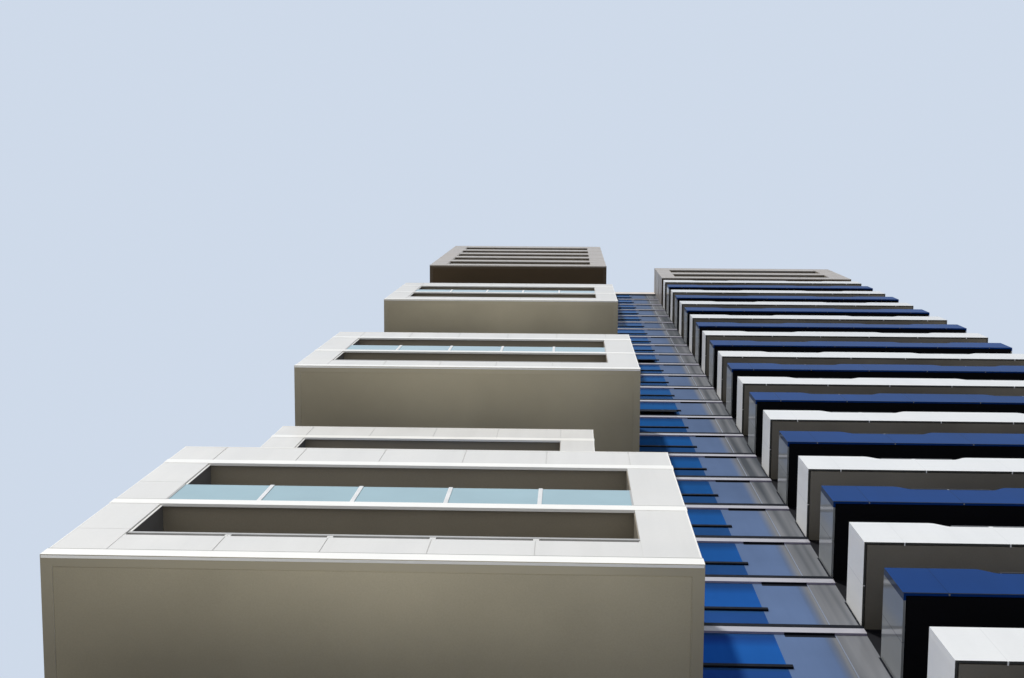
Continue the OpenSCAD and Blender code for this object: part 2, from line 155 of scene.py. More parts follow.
# Cladding plates and slab strips
PLATE = 0.0015
JOINT = 0.0014
EASE = 0.0004
LINE = 0.019
LINK_LINE = (-0.0115, 0.0055)
HIGH_LINK_LINE = (-0.0150, 0.0055)
HIGH_STRIPS = 10
DRIP = 0.009
HIGH_DRIP = 0.013
STRIP_OUT = 0.004
BAND_FOOT = 0.014
BAND_PLATES = 12
SEAM = 0.029
SEAM_GAP = 0.002
SEAM_DEPTH = 0.001
VENT_IN = 0.019
HOOD = 0.0006

# Trays of the wing
TRAY_LIFT = 0.011
TRAY_HEIGHT = 0.145
# Width and standout of the black strip beside each tray end, painted shade of the gap against the link
TRAY_GAP_SHADE = 0.0035
TRAY_GAP_SHADE_OUT = 0.0005
RIM = 0.004
DIP = 0.025
DIPS = 2
DIP_MIDDLE = 0.264
DIP_STEP = 0.542
PALE_BRACKET = 0.008
DARK_BRACKET = 0.004
BRACKET_DEPTH = 0.0045
RAIL_RISE = 0.0055
CLIP = 0.0024
CLIP_DROP = 0.0008
PALE_CLIP_DEPTH = 0.006
DARK_CLIP_DEPTH = 0.003
CLIP_START = 0.073
CLIP_STEP = 0.191
CLIPS = 6

# Patterns in the finishes
WHITE = (1, 1, 1)
CLOUD_LOW = 0.3
CLOUD_HIGH = 0.7
SEAM_WIDTH = 0.0016
# Painted shade toward the top of the tower: the share of the colour left at the higher of these decks
TOP_SHADE = 0.84
TOP_SHADE_DECKS = (11, 26)
# Painted shade along the boxes, darker at their ends, and toward the wall under the soffits
EDGE_SHADE_STOPS = ((0.0, 0.58), (0.2, 0.80), (0.5, 1.0), (0.85, 0.93), (1.0, 0.74))
WALL_SHADE = 0.76
WALL_SHADE_DEPTH = (0.02, 0.15)
STREAKS_LEFT = (0.024, 0.004)
LOWER_PANE = (1.0, 0.76, 0.70)
UPPER_PANE = (0.80, 1.0, 1.0)
# Painted shade at the head of each window, under the slab strip
HEAD_SHADE = (0.78, 0.66, 0.66)
PANES = ((0.0, LOWER_PANE), (TRANSOM_LOW, LOWER_PANE), (TRANSOM_HIGH, UPPER_PANE), (0.200, UPPER_PANE),
         (0.245, HEAD_SHADE))


def deck(n):
    """Height of deck line n."""
    return FIRST_DECK + (n - 1) * STOREY


# Planes and corners taken from the frame
deep_low, deep_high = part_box("deep_box_beams")
shallow_low, shallow_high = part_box("shallow_box_beams")
wing_low, wing_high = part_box("pale_tray_fronts")
wall_low, wall_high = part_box("front_wall")
back_low, back_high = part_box("back_wall")
clad_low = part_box("link_cladding")[0]
coping_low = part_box("roof_coping")[0]

BAY_LEFT, BAY_RIGHT = deep_low.x, deep_high.x
SHALLOW_RIGHT = shallow_high.x
WING_LEFT, WING_RIGHT = wing_low.x, wing_high.x
STREET = deep_low.y
SHALLOW_FRONT = shallow_low.y
TRAY_FRONT = wing_low.y
WALL = wall_low.y
FACE = clad_low.y
BODY_LEFT, BODY_RIGHT = wall_low.x, wall_high.x
BACK = back_high.y
PANEL_LEFT = clad_low.x
VENT_LEFT = PANEL_LEFT + VENT_IN
WALL_TOP = coping_low.z


# Small makers of shapes

def block(mesh, low, high):
    """A straight block from its low corner to its high corner."""
    low, high = Vector(low), Vector(high)
    shape = Matrix.Translation((low + high) / 2) @ Matrix.Diagonal((*(high - low), 1))
    return bmesh.ops.create_cube(mesh, size=1.0, matrix=shape)["verts"]


def ease_edges(mesh):
    """A small flat on every edge, as folded sheet has."""
    bmesh.ops.bevel(mesh, geom=mesh.edges[:], offset=EASE, segments=1, affect="EDGES",
                    profile=0.5, material=-1)


def add_object(name, data):
    """A new object in the scene."""
    thing = bpy.data.objects.new(name, data)
    bpy.context.scene.collection.objects.link(thing)
    return thing


def add_solid(name, mesh, finish):
    """Turns a finished bmesh into an object with one finish."""
    data = bpy.data.meshes.new(name)
    mesh.to_mesh(data)
    mesh.free()
    data.materials.append(finish)
    return add_object(name, data)


def place(name, mesh, finish):
    """Turns a finished bmesh into a piece of the tower."""
    bmesh.ops.recalc_face_normals(mesh, faces=mesh.faces[:])
    piece = add_solid(name, mesh, finish)
    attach(piece, "root")


def spans(low, high, cuts, gap=JOINT):
    """The lengths between the cuts, with an open joint at each cut."""
    edges = [low] + [cut for cut in cuts if low < cut < high] + [high]
    lengths = []
    for start, end in zip(edges, edges[1:]):
        begin = start if start == low else start + gap / 2
        finish = end if end == high else end - gap / 2
        lengths.append((begin, finish))
    return lengths


def shares(low, high, count):
    """The inner cuts that divide a length into equal parts."""
    return [low + (high - low) * k / count for k in range(1, count)]


# Finishes

def new_finish(name, rough=0.5, shine=0.5, metal=0.0):
    """An empty finish with its shader and its coordinates in the tower's own metres."""
    finish = bpy.data.materials.new(name)
    finish.use_nodes = True
    tree = finish.node_tree
    shader = tree.nodes["Principled BSDF"]
    for socket, number in (("Roughness", rough), ("Specular IOR Level", shine), ("Metallic", metal)):
        shader.inputs[socket].default_value = number
    sense = tree.nodes.new("ShaderNodeTexCoord")
    return finish, tree, shader, sense.outputs["Object"]


def noise(tree, where, scale, stretch=(1, 1, 1), detail=4.0):
    """A cloudy pattern with about scale clouds to a metre. Stretch above 1 packs it closer that way."""
    spread = tree.nodes.new("ShaderNodeMapping")
    spread.inputs["Scale"].default_value = stretch
    tree.links.new(where, spread.inputs["Vector"])
    cloud = tree.nodes.new("ShaderNodeTexNoise")
    cloud.inputs["Scale"].default_value = scale
    cloud.inputs["Detail"].default_value = detail
    tree.links.new(spread.outputs["Vector"], cloud.inputs["Vector"])
    return cloud.outputs["Fac"]


def ramp_through(tree, amount, stops):
    """Colour that runs through the stops, each a value of the pattern and its colour."""
    ramp = tree.nodes.new("ShaderNodeValToRGB")
    while len(ramp.color_ramp.elements) < len(stops):
        ramp.color_ramp.elements.new(0.5)
    for stop, (value, colour) in zip(ramp.color_ramp.elements, stops):
        stop.position = value
        stop.color = (*colour, 1)
    tree.links.new(amount, ramp.inputs["Fac"])
    return ramp.outputs["Color"]


def shade_between(tree, amount, dark, pale, low=CLOUD_LOW, high=CLOUD_HIGH):
    """Colour that runs from dark to pale as the pattern rises from low to high."""
    return ramp_through(tree, amount, ((low, dark), (high, pale)))


def tint(colour, share):
    """The colour made darker or paler by a share."""
    return tuple(min(1.0, c * share) for c in colour)


def cloudy(tree, where, colour, scale, dark, pale, stretch=(1, 1, 1), detail=4.0):
    """Soft clouds of a colour, from its dark share to its pale share."""
    pattern = noise(tree, where, scale, stretch, detail)
    return shade_between(tree, pattern, tint(colour, dark), tint(colour, pale))


def multiply(tree, first, second, where=None):
    """First colour darkened by the second, everywhere or where the given number is one."""
    mix = tree.nodes.new("ShaderNodeMix")
    mix.data_type = "RGBA"
    mix.blend_type = "MULTIPLY"
    mix.inputs["Factor"].default_value = 1.0
    if where:
        tree.links.new(where, mix.inputs["Factor"])
    tree.links.new(first, mix.inputs["A"])
    tree.links.new(second, mix.inputs["B"])
    return mix.outputs["Result"]


def between(tree, value, low, high, start, end):
    """A number that runs from start to end as the value goes from low to high."""
    span = tree.nodes.new("ShaderNodeMapRange")
    for socket, number in (("From Min", low), ("From Max", high), ("To Min", start), ("To Max", end)):
        span.inputs[socket].default_value = number
    tree.links.new(value, span.inputs["Value"])
    return span.outputs["Result"]


def uneven_gloss(tree, shader, where, scale, low, high):
    """Roughness that wanders from low to high in soft clouds."""
    pattern = noise(tree, where, scale)
    roughness = between(tree, pattern, CLOUD_LOW, CLOUD_HIGH, low, high)
    tree.links.new(roughness, shader.inputs["Roughness"])


def emboss(tree, shader, amount, depth, strength):
    """Fine relief from a pattern, depth in metres."""
    bump = tree.nodes.new("ShaderNodeBump")
    bump.inputs["Strength"].default_value = strength
    bump.inputs["Distance"].default_value = depth
    tree.links.new(amount, bump.inputs["Height"])
    tree.links.new(bump.outputs["Normal"], shader.inputs["Normal"])


def arithmetic(tree, operation, first, second=0.0):
    """One step of arithmetic in a finish."""
    step = tree.nodes.new("ShaderNodeMath")
    step.operation = operation
    tree.links.new(first, step.inputs[0])
    step.inputs[1].default_value = second
    return step.outputs["Value"]


def coordinate(tree, where, axis):
    """One coordinate of a place or of a direction."""
    split = tree.nodes.new("ShaderNodeSeparateXYZ")
    tree.links.new(where, split.inputs["Vector"])
    return split.outputs[axis]


def repeated(tree, value, start, step):
    """How far a value is past the last of the equal steps that are counted from the start."""
    return arithmetic(tree, "FLOORED_MODULO", arithmetic(tree, "SUBTRACT", value, start), step)


def facing(tree, axis):
    """How far a face looks along an axis, from minus one to one."""
    sense = tree.nodes.new("ShaderNodeTexCoord")
    return coordinate(tree, sense.outputs["Normal"], axis)


def facing_down(tree):
    """One on faces that look down, nought elsewhere."""
    return arithmetic(tree, "LESS_THAN", facing(tree, "Z"), -0.5)


def facing_sideways(tree):
    """One on faces that look left or right, nought elsewhere."""
    return arithmetic(tree, "GREATER_THAN", arithmetic(tree, "ABSOLUTE", facing(tree, "X")), 0.5)


def swap_where(tree, chosen, colour, other):
    """The given colour, but another one, plain or patterned, where chosen is one."""
    mix = tree.nodes.new("ShaderNodeMix")
    mix.data_type = "RGBA"
    tree.links.new(chosen, mix.inputs["Factor"])
    tree.links.new(colour, mix.inputs["A"])
    if isinstance(other, tuple):
        mix.inputs["B"].default_value = (*other, 1)
    else:
        tree.links.new(other, mix.inputs["B"])
    return mix.outputs["Result"]


def seam_lines(tree, where, seams):
    """One on the joints between panels. Seams gives the axis, the first place and the step."""
    axis, start, step = seams
    past = repeated(tree, coordinate(tree, where, axis), start - step / 2, step)
    away = arithmetic(tree, "ABSOLUTE", arithmetic(tree, "SUBTRACT", past, step / 2))
    return arithmetic(tree, "LESS_THAN", away, SEAM_WIDTH / 2)


def painted_shade_toward_top(tree, where):
    """Painted shade: the paint a little darker toward the top of the tower."""
    low, high = (deck(n) for n in TOP_SHADE_DECKS)
    return between(tree, coordinate(tree, where, "Z"), low, high, 1.0, TOP_SHADE)


def painted_shade_at_edges(tree, where):
    """Painted shade: grey that deepens toward the ends of the boxes and toward the wall."""
    along = between(tree, coordinate(tree, where, "X"), BAY_LEFT, BAY_RIGHT, 0.0, 1.0)
    ends = ramp_through(tree, along, [(share, (grey, grey, grey)) for share, grey in EDGE_SHADE_STOPS])
    near, far = (STREET + depth for depth in WALL_SHADE_DEPTH)
    return multiply(tree, ends, between(tree, coordinate(tree, where, "Y"), near, far, 1.0, WALL_SHADE))


def painted_panel(name, colour, rough=0.42, soil=0.05, under=None, seams=None, seam=0.8, shine=0.35,
                  end=None, shaded_at_edges=False, shaded_toward_top=False):
    """Smooth painted panel with a breath of dust, faint run-off down its face and soft clouds.
    Under and end are the colours of the faces that look down and sideways, for some finishes painted
    shade and painted light, and seam is the share of the colour that is left on the seams. The two
    shade options add painted shade toward the box ends and the wall, and toward the top of the tower."""
    finish, tree, shader, where = new_finish(name, shine=shine)
    clouds = cloudy(tree, where, colour, 3.5, 1 - soil, 1)
    runs = noise(tree, where, 28.0, stretch=(1, 1, 0.06), detail=3.0)
    streaks = shade_between(tree, runs, tint(WHITE, 1 - soil), WHITE, 0.25, 0.55)
    dust = cloudy(tree, where, WHITE, 160.0, 1 - soil / 2, 1)
    washed = multiply(tree, multiply(tree, clouds, streaks), dust)
    # Painted shade, a little darker toward the top of the tower
    if shaded_toward_top:
        washed = multiply(tree, washed, painted_shade_toward_top(tree, where))
    if under:
        washed = swap_where(tree, facing_down(tree), washed, under)
    # Painted shade on the faces that look down, darker toward the box ends and the wall
    if shaded_at_edges:
        washed = multiply(tree, washed, painted_shade_at_edges(tree, where), facing_down(tree))
    if seams:
        washed = swap_where(tree, seam_lines(tree, where, seams), washed, tint(colour, seam))
    if end:
        washed = swap_where(tree, facing_sideways(tree), washed, end)
    tree.links.new(washed, shader.inputs["Base Color"])
    uneven_gloss(tree, shader, where, 9.0, rough - 0.06, rough + 0.08)
    emboss(tree, shader, noise(tree, where, 700.0, detail=2.0), 0.00012, 0.35)
    return finish


def rendered_soffit(name, colour, patch=0.12, rough=0.78, shine=0.25, shaded_at_edges=False):
    """Fine troweled underside, a little cloudy, with a close grain."""
    finish, tree, shader, where = new_finish(name, rough, shine)
    clouds = cloudy(tree, where, colour, 4.0, 1 - patch, 1 + patch / 2, detail=6.0)
    washed = multiply(tree, clouds, cloudy(tree, where, WHITE, 420.0, 0.93, 1))
    # Painted shade, darker toward the ends of the boxes and toward the wall
    if shaded_at_edges:
        washed = multiply(tree, washed, painted_shade_at_edges(tree, where))
    tree.links.new(washed, shader.inputs["Base Color"])
    emboss(tree, shader, noise(tree, where, 420.0), 0.0003, 0.5)
    return finish


def bare_concrete(name, colour):
    """Cast concrete with clouds, pinholes and board marks."""
    finish, tree, shader, where = new_finish(name, rough=0.85)
    clouds = cloudy(tree, where, colour, 2.5, 0.8, 1.08, detail=8.0)
    grain = cloudy(tree, where, WHITE, 260.0, 0.86, 1)
    tree.links.new(multiply(tree, clouds, grain), shader.inputs["Base Color"])
    emboss(tree, shader, noise(tree, where, 180.0, detail=6.0), 0.0006, 0.5)
    return finish


def pane_tints_and_head_shade(tree, where):
    """Warmer lower panes, and painted shade in a darker band at the head of each window, under the slab
    strip.
    """
    risen = repeated(tree, coordinate(tree, where, "Z"), deck(1), STOREY)
    share = arithmetic(tree, "DIVIDE", risen, STOREY)
    return ramp_through(tree, share, [(height / STOREY, colour) for height, colour in PANES])


def bright_streaks(tree, where):
    """Upright grey streaks, as of tall neighbours mirrored in bent sheet."""
    stripes = noise(tree, where, 34.0, stretch=(1, 1, 0.02), detail=2.0)
    return shade_between(tree, stripes, (0.105, 0.115, 0.13), (0.29, 0.295, 0.31), 0.36, 0.68)


def right_of_seam(tree, where):
    """One on the panels right of the seam of the link, falling to nought a little left of it."""
    low, high = (SEAM - left for left in STREAKS_LEFT)
    return between(tree, coordinate(tree, where, "X"), low, high, 0.0, 1.0)


def mirror_panel(name, colour, edge, rough, metal, seams=None, end=None, panes=False, streaks=False):
    """Glossy sheet or reflective glass in one tint, with the slight waves that bend its reflections.
    Edge is the tint of its reflections at a glance."""
    finish, tree, shader, where = new_finish(name, shine=0.0, metal=metal)
    clouds = cloudy(tree, where, colour, 2.2, 0.88, 1.12)
    haze = cloudy(tree, where, WHITE, 24.0, 0.93, 1, stretch=(1, 1, 0.1))
    washed = multiply(tree, clouds, haze)
    if seams:
        washed = swap_where(tree, seam_lines(tree, where, seams), washed, tint(colour, 0.6))
    if end:
        washed = swap_where(tree, facing_sideways(tree), washed, end)
    # Warmer lower panes, and painted shade at the head of each window
    if panes:
        washed = multiply(tree, washed, pane_tints_and_head_shade(tree, where))
    # Painted reflections right of the seam, then painted shade toward the top of the tower
    if streaks:
        washed = swap_where(tree, right_of_seam(tree, where), washed, bright_streaks(tree, where))
        washed = multiply(tree, washed, painted_shade_toward_top(tree, where))
    tree.links.new(washed, shader.inputs["Base Color"])
    shader.inputs["Specular Tint"].default_value = (*edge, 1)
    uneven_gloss(tree, shader, where, 7.0, rough * 0.8, rough * 1.25)
    emboss(tree, shader, noise(tree, where, 5.0, detail=1.0), 0.0006, 0.6)
    return finish


def coated_metal(name, colour, rough, shine=0.5):
    """Powder-coated metal for bars, frames and rails."""
    finish, tree, shader, where = new_finish(name, shine=shine)
    tree.links.new(cloudy(tree, where, colour, 30.0, 0.9, 1.05), shader.inputs["Base Color"])
    uneven_gloss(tree, shader, where, 60.0, rough - 0.05, rough + 0.08)
    emboss(tree, shader, noise(tree, where, 900.0, detail=2.0), 0.0001, 0.3)
    return finish


def rail_metal(name, pale, dark):
    """Satin metal of the handrails, paler on every second tray, which is a pale one."""
    finish, tree, shader, where = new_finish(name, shine=0.25)
    risen = repeated(tree, coordinate(tree, where, "Z"), deck(2), 2 * STOREY)
    on_dark = arithmetic(tree, "GREATER_THAN", risen, STOREY)
    clouds = cloudy(tree, where, pale, 30.0, 0.9, 1.05)
    tree.links.new(swap_where(tree, on_dark, clouds, dark), shader.inputs["Base Color"])
    uneven_gloss(tree, shader, where, 60.0, 0.35, 0.48)
    return finish


def pale_glass(name, colour):
    """Obscured balustrade glass, smooth outside, milky aqua through its body."""
    finish, tree, shader, where = new_finish(name, rough=0.16, shine=0.12)
    tree.links.new(cloudy(tree, where, colour, 6.0, 0.93, 1.05), shader.inputs["Base Color"])
    emboss(tree, shader, noise(tree, where, 3.0, detail=1.0), 0.0004, 0.3)
    return finish


PAINT = (0.86, 0.847, 0.805)
CROWN_PAINT = (0.41, 0.375, 0.335)
CLAD_BLUE = (0.143, 0.205, 0.35)
CLAD_EDGE = (0.2, 0.2, 0.2)
TAUPE = (0.50, 0.445, 0.318)
BROWN = (0.058, 0.038, 0.019)
NIGHT = (0.004, 0.004, 0.006)
# Painted shade on the undersides of the tray lips
LIP_PAINTED_SHADE = (0.05, 0.05, 0.045)
# Painted light: the sides of the pale trays, and the sideways faces of their fronts, paler than the fronts
SIDE_PAINTED_LIGHT = (0.95, 0.93, 0.88)
FRONT_SEAMS = ("X", WING_LEFT + CLIP_START, CLIP_STEP)
TRAY_MIDDLE = ("Y", (TRAY_FRONT + WALL) / 2, 1.0)

BOX_WHITE = painted_panel("box_white", (0.66, 0.65, 0.625), shaded_toward_top=True)
BEAM_WHITE = painted_panel("beam_white", PAINT, rough=0.36, soil=0.02, under=TAUPE,
                           shaded_at_edges=True, shaded_toward_top=True)
TRIM_WHITE = painted_panel("trim_white", PAINT, rough=0.36, soil=0.02, shaded_toward_top=True)
COPING = painted_panel("coping_beige", (0.70, 0.62, 0.54))
CROWN = painted_panel("crown_beige", (0.36, 0.323, 0.288), soil=0.07)
CROWN_BEAM = painted_panel("crown_beam", CROWN_PAINT, soil=0.04, under=BROWN)
CROWN_TRIM = painted_panel("crown_trim", CROWN_PAINT, soil=0.04)
# The strips' undersides carry painted shade with a purple painted reflection
STRIP_AND_UNDER_SHADE = painted_panel("strip_grey", (0.41, 0.40, 0.435), rough=0.38, under=(0.24, 0.22, 0.30))
# The pale trays carry painted light on their sides and painted shade under their lips
PALE_FRONT = painted_panel("pale_tray_front", (0.725, 0.73, 0.725), rough=0.34, soil=0.04, under=LIP_PAINTED_SHADE,
                           seams=FRONT_SEAMS, seam=0.88, end=SIDE_PAINTED_LIGHT, shaded_toward_top=True)
PALE_SIDE_PAINTED_LIGHT = painted_panel("pale_tray_side", SIDE_PAINTED_LIGHT, rough=0.34, soil=0.04, under=LIP_PAINTED_SHADE,
                          seams=TRAY_MIDDLE, shaded_toward_top=True)
WALL_PAINT = painted_panel("wall_grey", (0.165, 0.185, 0.22), soil=0.08)
ANTHRACITE = painted_panel("wall_anthracite", NIGHT, rough=0.6, soil=0.1, shine=0.1)
# Painted shade: the left linings of the loggias darker than the right ones
LINING_SHADE = painted_panel("loggia_lining_painted_shade", (0.15, 0.145, 0.14), rough=0.6, soil=0.1, shine=0.15)
REVEAL = painted_panel("loggia_reveal", (0.28, 0.245, 0.19), rough=0.6, soil=0.1, shine=0.15)
JOINT_GREY = coated_metal("joint_grey", (0.60, 0.60, 0.585), rough=0.7, shine=0.2)
BEAD_GREY = coated_metal("bead_grey", (0.33, 0.33, 0.315), rough=0.7, shine=0.1)
GUARD_GREY = coated_metal("guard_grey", (0.36, 0.355, 0.345), rough=0.45)
SOFFIT = rendered_soffit("soffit_taupe", (0.54, 0.48, 0.342), shaded_at_edges=True)
TRAY_SOFFIT = rendered_soffit("tray_soffit", (0.175, 0.158, 0.128), patch=0.25)
CROWN_SOFFIT = rendered_soffit("crown_soffit", BROWN)
BLACK_SOFFIT = rendered_soffit("black_soffit", (0.003, 0.003, 0.004), rough=0.9, shine=0.08)
# Painted shade inside the loggias, over the white undersides of the floors
CEILING_SHADE = rendered_soffit("loggia_ceiling_painted_shade", (0.30, 0.262, 0.195))
CONCRETE = bare_concrete("concrete", (0.42, 0.41, 0.39))
ROOFING = bare_concrete("roof_felt", (0.30, 0.30, 0.30))
WINDOW_GLASS = mirror_panel("window_glass", (0.036, 0.165, 0.50), (0.15, 0.12, 0.05), 0.05, 0.5, panes=True)
CLADDING = mirror_panel("cladding_glossy", CLAD_BLUE, CLAD_EDGE, 0.14, 0.3)
LINK_CLADDING = mirror_panel("cladding_glossy_link", CLAD_BLUE, CLAD_EDGE, 0.14, 0.3, streaks=True)
# The dark trays are black gloss: the navy of their fronts is a painted reflection of the sky, the grey of
# their sides a painted reflection of their surroundings
DARK_FRONT_PAINTED_SKY = mirror_panel("dark_tray_front", (0.004, 0.036, 0.18), (0.78, 0.9, 0.9), 0.09, 0.25,
                          seams=FRONT_SEAMS, end=(0.07, 0.08, 0.115))
DARK_SIDE_PAINTED_REFLECTION = mirror_panel("dark_tray_side", (0.38, 0.39, 0.385), (0.9, 0.9, 0.9), 0.09, 0.5,
                         seams=TRAY_MIDDLE)
SEAM_GREY = painted_panel("seam_grey", (0.18, 0.21, 0.28), rough=0.4)
BLACK = coated_metal("black_metal", (0.004, 0.005, 0.009), rough=0.6, shine=0.05)
POST_WHITE = coated_metal("post_white", (0.70, 0.70, 0.69), rough=0.35)
CLIP_GREY = coated_metal("clip_grey", (0.22, 0.22, 0.23), rough=0.4)
RAIL_GREY = rail_metal("rail_grey", (0.16, 0.165, 0.175), (0.03, 0.03, 0.034))
BALUSTRADE = pale_glass("balustrade_glass", (0.30, 0.44, 0.49))

NODE_FINISHES = (
    (CONCRETE, "ground_slab floor_slabs"),
    (ROOFING, "roof_slab"),
    (COPING, "roof_coping"),
    (WALL_PAINT, "left_wall right_wall back_wall lobby_front_left lobby_front_right lobby_lintel"),
    (ANTHRACITE, "front_wall"),
    (STRIP_AND_UNDER_SHADE, "slab_edge_strips"),
    (WINDOW_GLASS, "front_glass left_glass right_glass back_glass"),
    (LINK_CLADDING, "link_cladding"),
    (BLACK, "link_transoms link_vents"),
    (SOFFIT, "deep_box_soffits shallow_box_soffits"),
    (BEAM_WHITE, "deep_box_beams shallow_box_beams"),
    (BOX_WHITE, "deep_box_piers deep_box_parapets deep_box_spandrels"),
    (BOX_WHITE, "shallow_box_piers shallow_box_parapets shallow_box_spandrels"),
    (TRIM_WHITE, "deep_box_floors shallow_box_floors"),
    (BALUSTRADE, "deep_box_panes"),
    (POST_WHITE, "deep_box_posts"),
    (CROWN_SOFFIT, "crown_soffits"),
    (CROWN_BEAM, "crown_beams"),
    (CROWN, "crown_piers crown_parapets crown_spandrels"),
    (CROWN_TRIM, "crown_floors"),
    (TRAY_SOFFIT, "pale_tray_floors"),
    (PALE_FRONT, "pale_tray_fronts"),
    (PALE_SIDE_PAINTED_LIGHT, "pale_tray_sides"),
    (BLACK_SOFFIT, "dark_tray_floors"),
    (DARK_FRONT_PAINTED_SKY, "dark_tray_fronts"),
    (DARK_SIDE_PAINTED_REFLECTION, "dark_tray_sides"),
    (RAIL_GREY, "tray_handrails"),
)


def dress_frame():
    """Gives each piece of the frame its finish."""
    for finish, names in NODE_FINISHES:
        for name in names.split():
            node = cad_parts[name]
            if not node.material_slots:
                node.data.materials.append(finish)
            for holder in node.material_slots:
                holder.material = finish


# Boxes that stand out from the street front

class Box:
    """One box: its ends, its front, its lowest deck line, its storeys and what guards its loggias.
    Railed counts the storeys with a rail over their spandrels. Over a single one come glass panes."""

    def __init__(self, left, right, front, level, storeys=2, right_pier=PIER, railed=2, panels=SPANDRELS):
        self.left = left
        self.right = right
        self.front = front
        self.level = level
        self.storeys = storeys
        self.railed = railed
        self.panels = panels
        self.open_left = left + PIER
        self.open_right = right - right_pier
        self.plate_left = left + EDGE_OUT - PLATE
        self.plate_right = right - EDGE_OUT + PLATE
        self.face = front + EDGE_OUT

    def floor(self, k):
        """Top of the floor of storey k."""
        return deck(self.level + k) + (BEAM_TOP if k == 0 else EDGE_OVER)

    def ceiling(self, k):
        """Underside of the floor over storey k."""
        return deck(self.level + k + 1) + EDGE_OVER - FLOOR

    def over_guard(self, k):
        """Just over the spandrels, rails or panes of storey k."""
        return deck(self.level + k) + (RAIL_TOP if self.railed else SPANDREL_TOP) + CLEAR

    def glazed(self, k):
        """Whether storey k is guarded by glass panes and not by spandrels."""
        return k > 0 and self.railed == 1

    def pier_cut(self, k):
        """Height of the joint across the pier plates of storey k."""
        return deck(self.level + k) + (FIRST_PIER_CUT if k == 0 else PIER_CUT)

    def parapet(self):
        """Foot and top of the parapet."""
        top = deck(self.level + self.storeys)
        return top + EDGE_OVER, top + PARAPET

    def storey_rows(self, k):
        """Foot and top of the plates of storey k, between the bead on its floor and the fascia over it."""
        return spans(self.floor(k) + BEAD, self.ceiling(k) - FASCIA, [self.pier_cut(k)], JOINT / 2)

    def spandrel_cuts(self):
        """Joints between the spandrels or the panes."""
        return shares(self.open_left, self.open_right, SPANDRELS)

    def parapet_cuts(self):
        """Joints along the parapet."""
        end = self.right - PARAPET_PIER if self.railed == 1 else self.open_right
        return [self.open_left] + shares(self.open_left, end, self.panels) + [end]


DEEP = [Box(BAY_LEFT, BAY_RIGHT, STREET, n, railed=1) for n in DEEP_LEVELS]
SHALLOW = [Box(BAY_LEFT, SHALLOW_RIGHT, SHALLOW_FRONT, n, panels=SHALLOW_PANELS) for n in SHALLOW_LEVELS]
BAY_CROWN = Box(BAY_LEFT, BAY_RIGHT, STREET, BAY_CROWN_LEVEL, storeys=BAY_CROWN_STOREYS, railed=0)
WING_CROWN = Box(WING_LEFT, WING_RIGHT, TRAY_FRONT, WING_CROWN_LEVEL, right_pier=CROWN_PIER, railed=0)


def at_both_ends(mesh, box, reach, depth, up):
    """The same block at both ends of a box. Reach runs inward from the end, depth runs in from the
    street and up is its foot and top."""
    near, far = reach
    for start, end in ((box.left + near, box.left + far), (box.right - far, box.right - near)):
        block(mesh, (start, depth[0], up[0]), (end, depth[1], up[1]))


def front_plates(mesh, box):
    """Plates on the fronts of the piers, of the spandrels and of the parapet."""
    near = box.face - FRONT_PLATE
    for k in range(box.storeys):
        rows = box.storey_rows(k)
        for low, high in rows:
            block(mesh, (box.plate_left, near, low), (box.open_left, box.face, high))
        block(mesh, (box.open_right, near, rows[0][0]), (box.plate_right, box.face, rows[-1][1]))
        if box.glazed(k):
            continue
        top = deck(box.level + k) + SPANDREL_PLATE
        for start, end in spans(box.open_left + JOINT / 2, box.open_right, box.spandrel_cuts()):
            block(mesh, (start, near, rows[0][0]), (end, box.face, top))
    foot, top = box.parapet()
    for start, end in spans(box.plate_left, box.plate_right, box.parapet_cuts()):
        block(mesh, (start, near, foot), (end, box.face, top - CAP))


def end_plates(mesh, box):
    """Plates on both ends, each as wide as END_PLATE or nearly so."""
    cuts = shares(box.face, WALL, max(1, round((WALL - box.face) / END_PLATE)))
    foot, top = box.parapet()
    rows = [(foot, top - CAP)]
    for k in range(box.storeys):
        rows += box.storey_rows(k)
    for up in rows:
        for depth in spans(box.face, WALL, cuts):
            at_both_ends(mesh, box, (EDGE_OUT - PLATE, EDGE_OUT), depth, up)


def parapet_caps(mesh, box):
    """A slim pressed cap along the top edge of the parapet, on its outer face."""
    top = box.parapet()[1]
    low = top - CAP
    block(mesh, (box.plate_left - CAP_OUT, box.front, low), (box.plate_right + CAP_OUT, box.face, top))
    at_both_ends(mesh, box, (EDGE_OUT - PLATE - CAP_OUT, EDGE_OUT), (box.face, WALL), (low, top))


def opening_frame(mesh, box):
    """Slim white frame just behind the plates, up the left edge of each opening."""
    for k in range(box.storeys):
        low, high = box.over_guard(k), box.ceiling(k) - PLATE
        block(mesh, (box.open_left, box.face, low), (box.open_left + OPENING_FRAME, box.face + PLATE, high))


def corner_trims(mesh, box):
    """A slim white angle over the plates up both outer corners of the front."""
    near = box.face - FRONT_PLATE
    reach = (EDGE_OUT - PLATE - HAIR, EDGE_OUT - PLATE + CORNER)
    foot, top = box.parapet()
    rows = [(box.floor(k) + BEAD, box.ceiling(k) - FASCIA) for k in range(box.storeys)]
    for up in rows + [(foot, top - CAP)]:
        at_both_ends(mesh, box, reach, (near - HAIR, near + CORNER / 2), up)


def fascias(mesh, box):
    """White board that hangs a little way under the edge of each upper floor."""
    for k in range(box.storeys):
        low, high = box.ceiling(k) - FASCIA, box.ceiling(k)
        block(mesh, (box.left, box.front, low), (box.right, box.face, high))
        block(mesh, (box.open_left, box.face, low), (box.open_right, box.face + FASCIA_LIP, high))
        at_both_ends(mesh, box, (0, EDGE_OUT), (box.face, WALL), (low, high))


